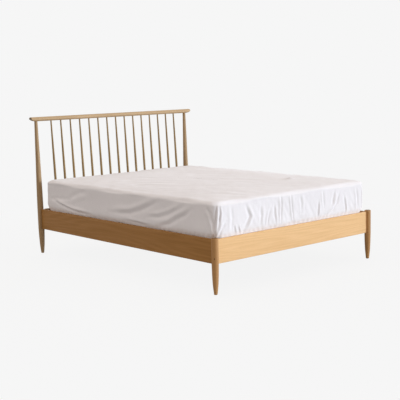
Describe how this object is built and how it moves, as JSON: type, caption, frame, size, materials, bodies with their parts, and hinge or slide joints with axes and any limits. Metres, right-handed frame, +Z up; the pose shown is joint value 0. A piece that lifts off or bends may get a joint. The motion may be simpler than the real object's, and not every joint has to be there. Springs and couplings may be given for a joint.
{
  "type": "spindle bed",
  "caption": "Double bed with round tapered legs, an oval crest rail over a row of turned spindles, deep plain rails, a slatted base and a mattress in a fitted sheet",
  "frame": {"origin": "on the floor, in the middle of the bed's overall width and length", "axes": "Z up; Y along the bed's length, the headboard at +Y; X across the bed, +X to the right for a person who stands at the foot and looks at the headboard"},
  "size_m": [1.662, 2.1233, 1.098],
  "materials": {
    "turned_wood": "clear satin oil on light oak",
    "board_wood": "clear satin oil on light oak boards",
    "spindle_wood": "clear satin oil on light oak",
    "slat_wood": "planed, untreated pine",
    "base_wood": "planed, untreated hardwood",
    "plug_wood": "end grain, satin",
    "plate_steel": "zinc plated",
    "fastener_steel": "zinc plated",
    "glide_plastic": "matte",
    "webbing": "woven polypropylene",
    "mattress_ticking": "knitted ticking",
    "sheet_cotton": "washed cotton percale"
  },
  "bodies": {
    "bed_frame": {"barrel_nuts": "fastener_steel", "beam_hanger_foot": "plate_steel", "beam_hanger_head": "plate_steel", "bed_bolts": "fastener_steel", "bolt_caps": "plug_wood", "centre_beam": "base_wood", "corner_bolts": "fastener_steel", "corner_nuts": "fastener_steel", "corner_plate_left": "plate_steel", "corner_plate_right": "plate_steel", "crest_rail": "turned_wood", "foot_leg_left": "turned_wood", "foot_leg_right": "turned_wood", "foot_rail": "board_wood", "head_bracket_left": "plate_steel", "head_bracket_right": "plate_steel", "head_cross_rail": "board_wood", "head_post_left": "turned_wood", "head_post_right": "turned_wood", "joint_dowels": "plug_wood", "ledger_left": "base_wood", "ledger_right": "base_wood", "side_rail_left": "board_wood", "side_rail_right": "board_wood", "slat_01": "slat_wood", "slat_02": "slat_wood", "slat_03": "slat_wood", "slat_04": "slat_wood", "slat_05": "slat_wood", "slat_06": "slat_wood", "slat_07": "slat_wood", "slat_08": "slat_wood", "slat_09": "slat_wood", "slat_10": "slat_wood", "slat_11": "slat_wood", "slat_12": "slat_wood", "slat_straps": "webbing", "spindle_01": "spindle_wood", "spindle_02": "spindle_wood", "spindle_03": "spindle_wood", "spindle_04": "spindle_wood", "spindle_05": "spindle_wood", "spindle_06": "spindle_wood", "spindle_07": "spindle_wood", "spindle_08": "spindle_wood", "spindle_09": "spindle_wood", "spindle_10": "spindle_wood", "spindle_11": "spindle_wood", "spindle_12": "spindle_wood", "spindle_13": "spindle_wood", "spindle_14": "spindle_wood", "spindle_15": "spindle_wood", "support_glides": "glide_plastic", "support_leg_foot": "base_wood", "support_leg_head": "base_wood", "wood_screws": "fastener_steel"},
    "bedding": {"mattress": "mattress_ticking", "fitted_sheet": "sheet_cotton"}
  },
  "joints": [
    {"name": "mattress_lift", "type": "slide", "parent": "bed_frame", "child": "bedding", "axis": [0, 0, 1], "range_m": [0, 0.3]}
  ]
}
